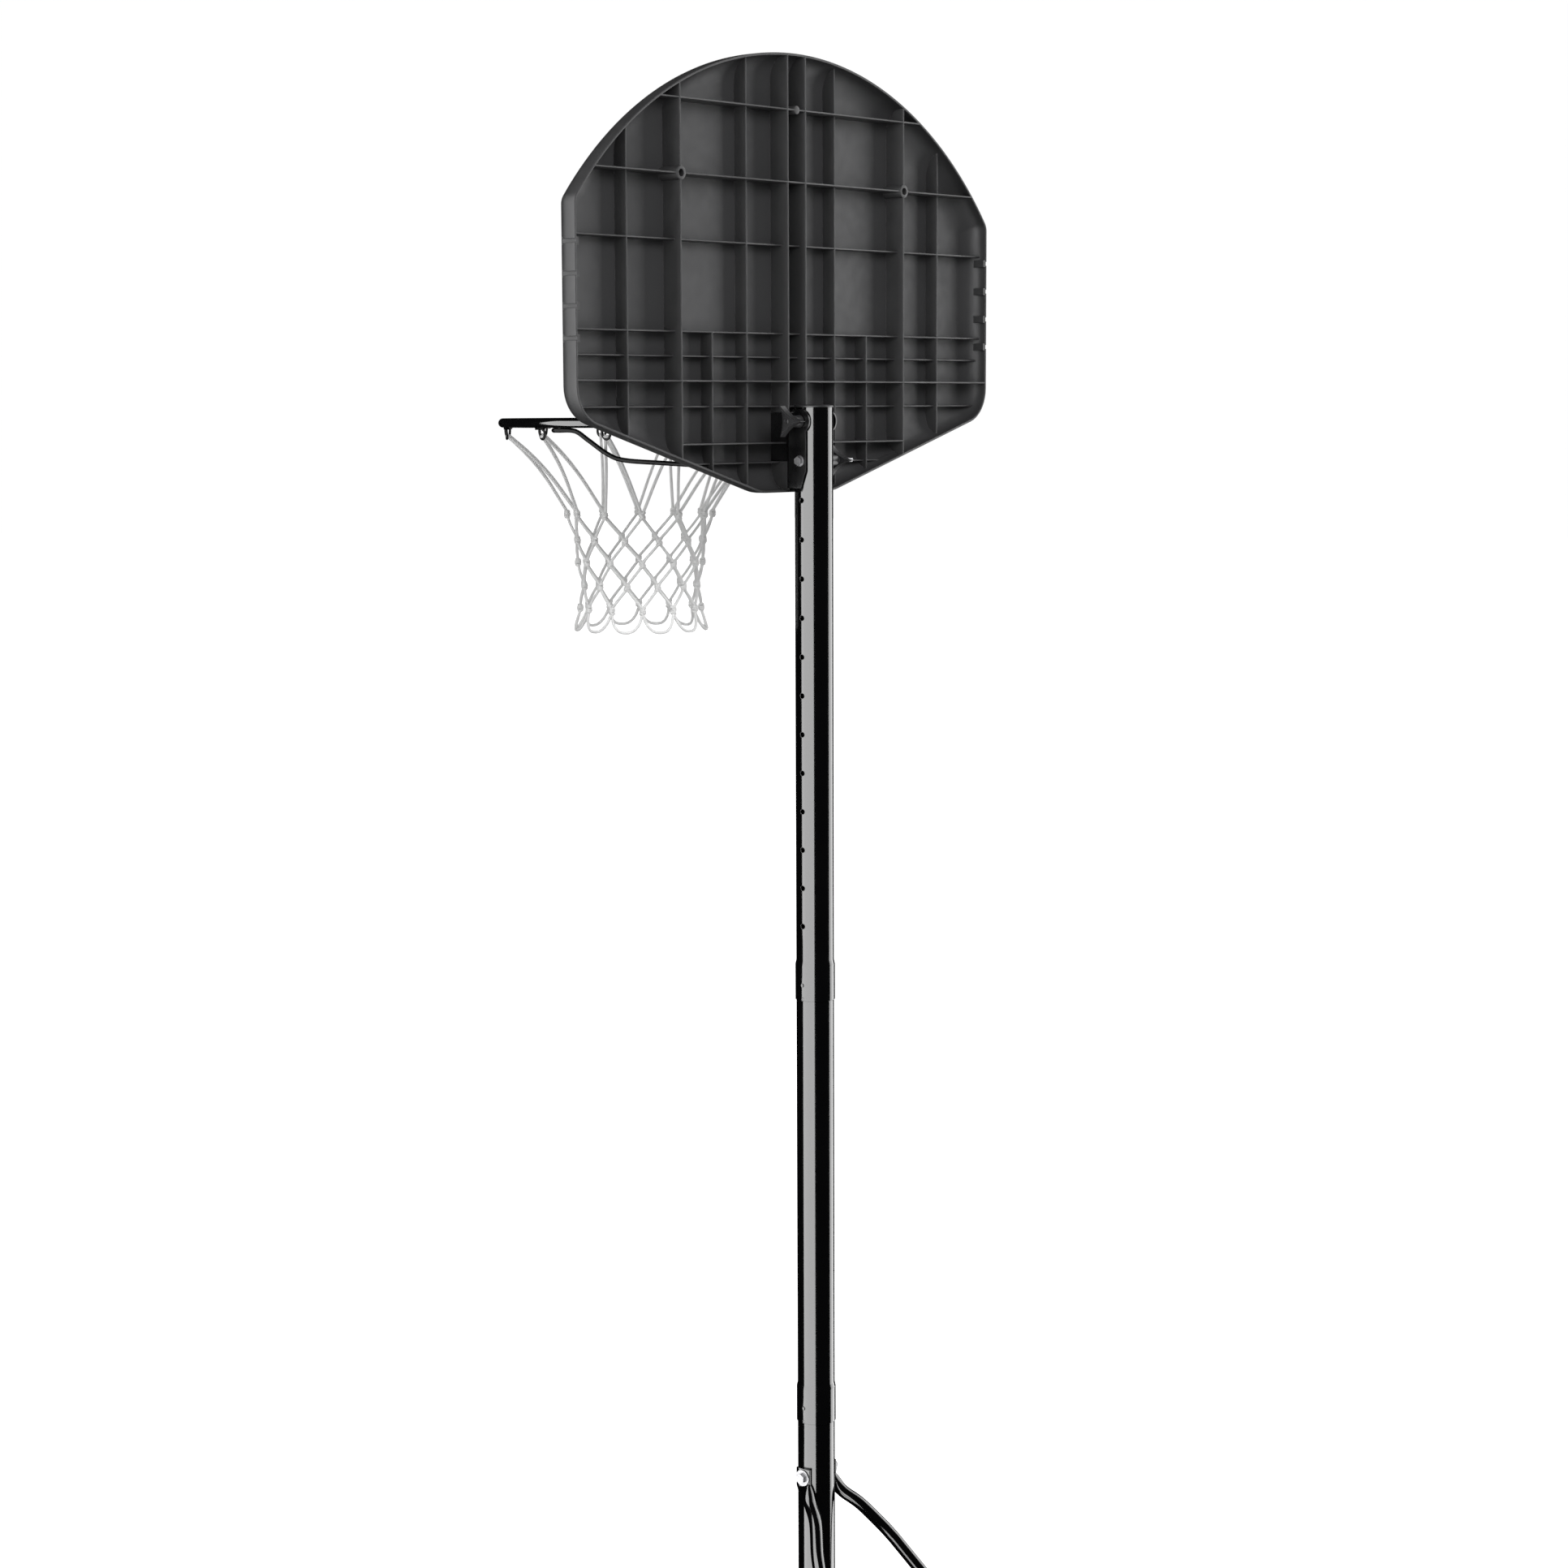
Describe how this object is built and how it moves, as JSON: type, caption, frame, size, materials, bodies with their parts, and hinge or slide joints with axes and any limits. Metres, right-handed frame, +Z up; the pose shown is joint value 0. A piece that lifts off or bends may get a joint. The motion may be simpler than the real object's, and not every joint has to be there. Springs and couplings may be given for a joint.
{
  "type": "portable basketball hoop",
  "caption": "Free-standing basketball hoop: ribbed fan-shaped board, rim and net on a height-adjustable bracket, sectional pole, splayed struts and a fillable wheeled base.",
  "frame": {"origin": "where the pole's axis meets the floor, on the flat underside of the base", "axes": "+Z up along the pole; the hoop faces -Y and the base runs back to +Y; +X is the side of the upper knob"},
  "size_m": [1.29, 1.4376, 3.648],
  "materials": {
    "board_plastic": "fine moulded grain, dark grey-black",
    "pole_paint": "gloss black powder coat",
    "rim_paint": "gloss black paint over welds",
    "bracket_paint": "satin black paint",
    "zinc": "bright zinc plate",
    "base_plastic": "blow-moulded, pebbled black",
    "knob_plastic": "satin moulded black",
    "wheel_plastic": "satin moulded dark grey",
    "cap_plastic": "satin moulded dark grey",
    "seal_rubber": "soft matt rubber",
    "net_cord": "white braided cord"
  },
  "bodies": {
    "stand": {"base_pan": "base_plastic", "base_walls": "base_plastic", "base_top": "base_plastic", "base_socket": "base_plastic", "fill_neck": "base_plastic", "drain_boss": "base_plastic", "wheel_wells": "base_plastic", "axle_tube": "base_plastic", "axle": "zinc", "axle_caps": "wheel_plastic", "pole_bottom": "pole_paint", "pole_middle": "pole_paint", "pole_top": "pole_paint", "pole_cap": "knob_plastic", "collar_bolt": "zinc", "collar_nut": "zinc", "strut_left": "pole_paint", "strut_right": "pole_paint", "strut_pole_bolt": "zinc", "strut_pole_nut": "zinc", "strut_pole_washers": "zinc", "strut_foot_bolts": "zinc", "strut_foot_washers": "zinc"},
    "hoop_head": {"backboard": "board_plastic", "board_bracket": "bracket_paint", "rim_plate": "rim_paint", "rim_ring": "rim_paint", "brace_left": "rim_paint", "brace_right": "rim_paint", "net_hooks": "rim_paint", "net_upper": "net_cord", "net_lower": "net_cord", "rim_bolts": "zinc", "rim_washers": "zinc", "rim_nuts": "zinc", "upper_bolt": "zinc", "upper_washers": "zinc", "lower_bolt": "zinc", "lower_washers": "zinc"},
    "upper_knob": {"upper_knob": "knob_plastic", "upper_knob_insert": "zinc"},
    "lower_knob": {"lower_knob": "knob_plastic", "lower_knob_insert": "zinc"},
    "wheel_left": {"wheel_left": "wheel_plastic"},
    "wheel_right": {"wheel_right": "wheel_plastic"},
    "fill_cap": {"fill_cap": "cap_plastic", "fill_cap_seal": "seal_rubber"},
    "drain_plug": {"drain_plug": "cap_plastic"}
  },
  "joints": [
    {"name": "height_adjust", "type": "slide", "parent": "stand", "child": "hoop_head", "axis": [0, 0, 1], "range_m": [-0.78, 0]},
    {"name": "upper_knob_turn", "type": "hinge", "parent": "hoop_head", "child": "upper_knob", "pos_m": [0.06, 0, 3.05], "axis": [1, 0, 0], "continuous": true},
    {"name": "lower_knob_turn", "type": "hinge", "parent": "hoop_head", "child": "lower_knob", "pos_m": [-0.06, 0, 2.985], "axis": [1, 0, 0], "continuous": true},
    {"name": "wheel_left_spin", "type": "hinge", "parent": "stand", "child": "wheel_left", "pos_m": [0.228, -0.215, 0.066], "axis": [1, 0, 0], "continuous": true},
    {"name": "wheel_right_spin", "type": "hinge", "parent": "stand", "child": "wheel_right", "pos_m": [-0.228, -0.215, 0.066], "axis": [1, 0, 0], "continuous": true},
    {"name": "fill_cap_lift", "type": "slide", "parent": "stand", "child": "fill_cap", "axis": [0, 0, 1], "range_m": [0, 0.06]},
    {"name": "drain_plug_pull", "type": "slide", "parent": "stand", "child": "drain_plug", "axis": [0, 1, 0], "range_m": [0, 0.05]}
  ]
}
